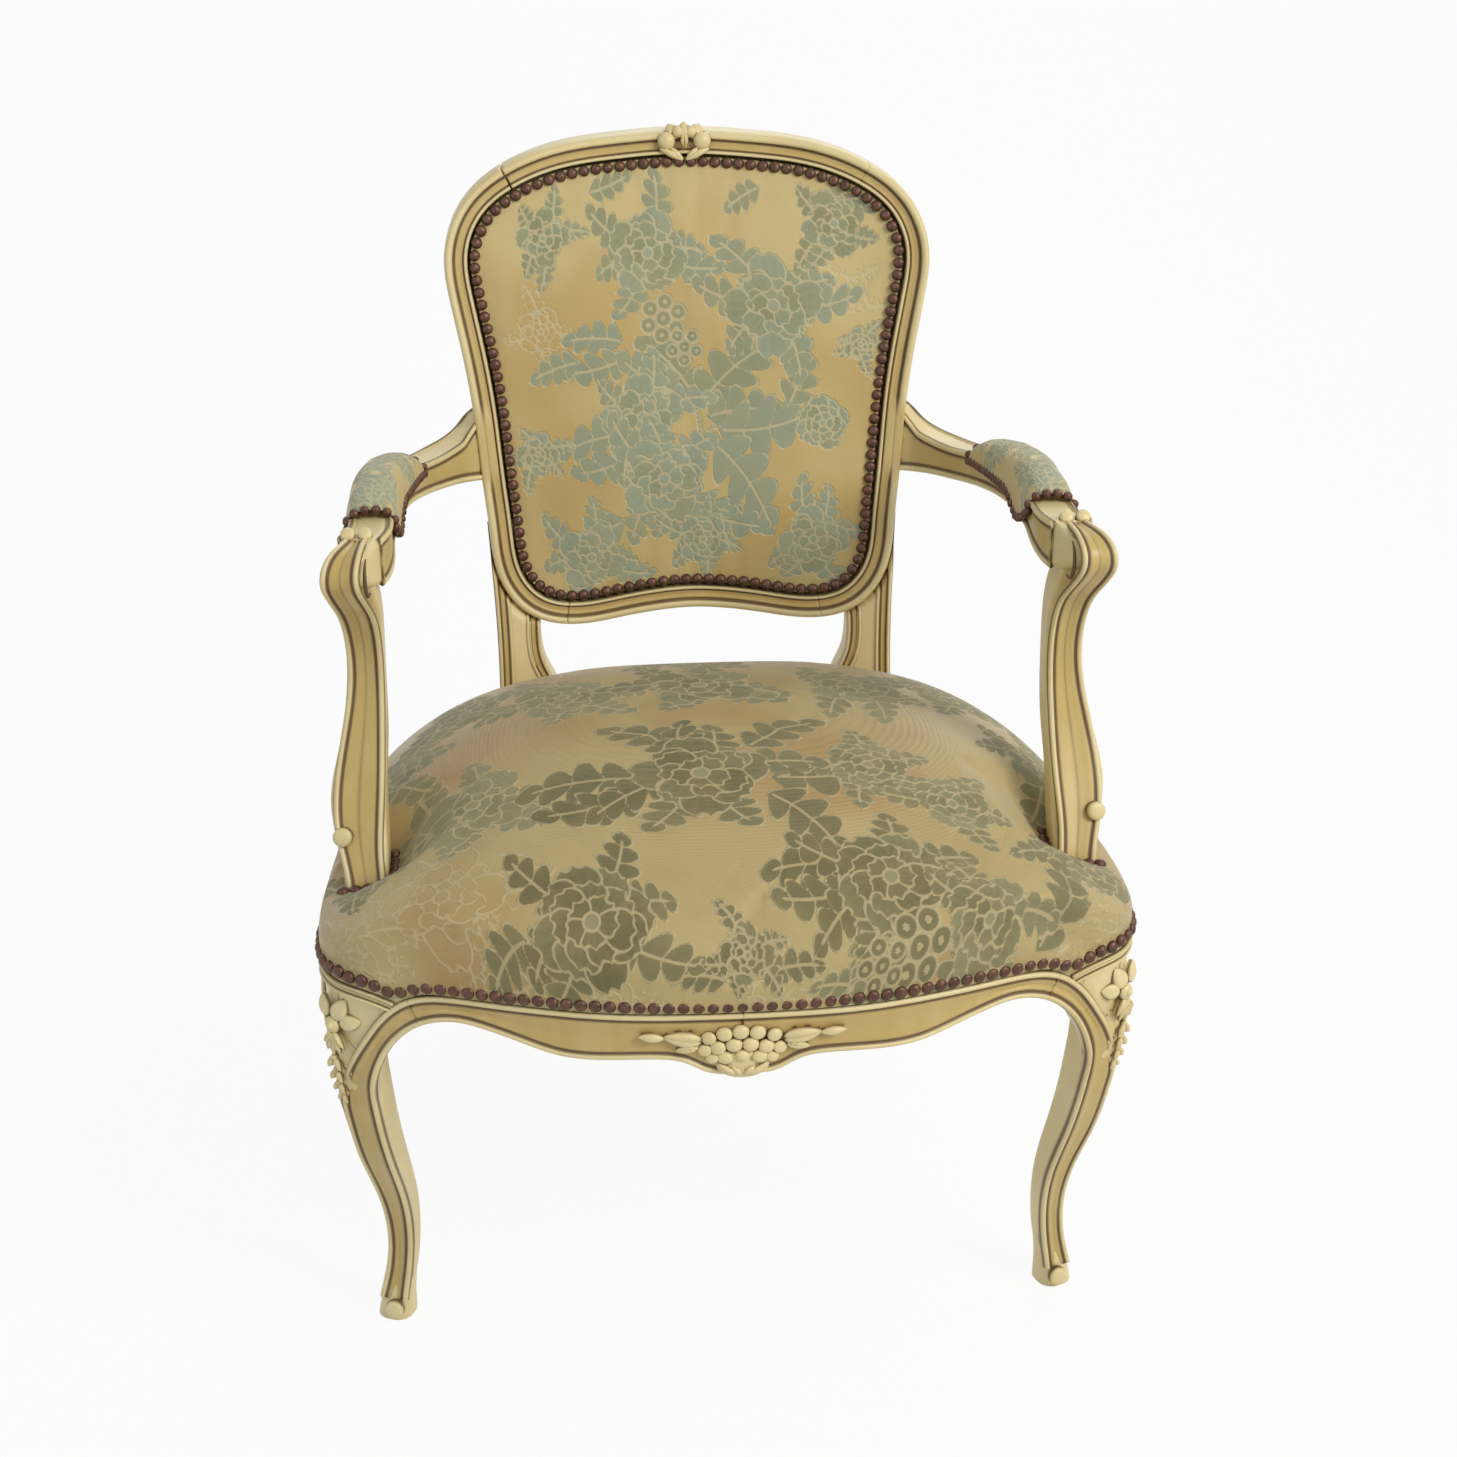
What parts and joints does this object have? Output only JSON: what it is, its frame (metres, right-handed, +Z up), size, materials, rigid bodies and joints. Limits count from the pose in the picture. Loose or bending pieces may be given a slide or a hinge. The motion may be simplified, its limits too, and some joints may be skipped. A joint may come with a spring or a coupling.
{
  "type": "armchair",
  "caption": "open armchair with a carved painted frame, curved back, cabriole front legs, domed seat and small arm pads, covered in floral damask with domed nails",
  "frame": {"origin": "on the floor under the middle of the chair's bounding box", "axes": "+X to the right as seen from the front, -Y the way the chair faces, +Z up"},
  "size_m": [0.614, 0.6394, 0.8831],
  "materials": {
    "painted_wood": "cream paint with an aged brown glaze in the hollows, satin",
    "raw_beech": "bare beech, darkened by age",
    "seat_damask": "woven floral damask, olive green on gold",
    "back_damask": "woven floral damask, grey-green on pale gold",
    "nail": "dark brown patinated domed heads",
    "steel": "plain wood screws",
    "jute": "woven jute webbing",
    "hessian": "coarse hessian",
    "horsehair": "curled horsehair stuffing"
  },
  "bodies": {
    "root": {"front_rail": "painted_wood", "side_rail_left": "painted_wood", "side_rail_right": "painted_wood", "back_rail": "raw_beech", "front_leg_left": "painted_wood", "front_leg_right": "painted_wood", "back_post_left": "painted_wood", "back_post_right": "painted_wood", "crest_rail": "painted_wood", "lower_back_rail": "painted_wood", "arm_left": "painted_wood", "arm_right": "painted_wood", "arm_support_left": "painted_wood", "arm_support_right": "painted_wood", "corner_blocks": "raw_beech", "corner_block_screws": "steel", "joint_pegs": "raw_beech", "back_dowels": "raw_beech", "arm_dowels": "raw_beech", "seat_webbing_lengthwise": "jute", "seat_webbing_crosswise": "jute", "seat_hessian": "hessian", "seat_stuffing": "horsehair", "seat_cover": "seat_damask", "seat_nails": "nail", "back_webbing": "jute", "back_stuffing": "horsehair", "back_cover": "back_damask", "outside_back_cover": "back_damask", "back_front_nails": "nail", "back_rear_nails": "nail", "arm_pad_stuffing_left": "horsehair", "arm_pad_stuffing_right": "horsehair", "arm_pad_cover_left": "back_damask", "arm_pad_cover_right": "back_damask", "arm_pad_nails_left": "nail", "arm_pad_nails_right": "nail"}
  },
  "joints": []
}
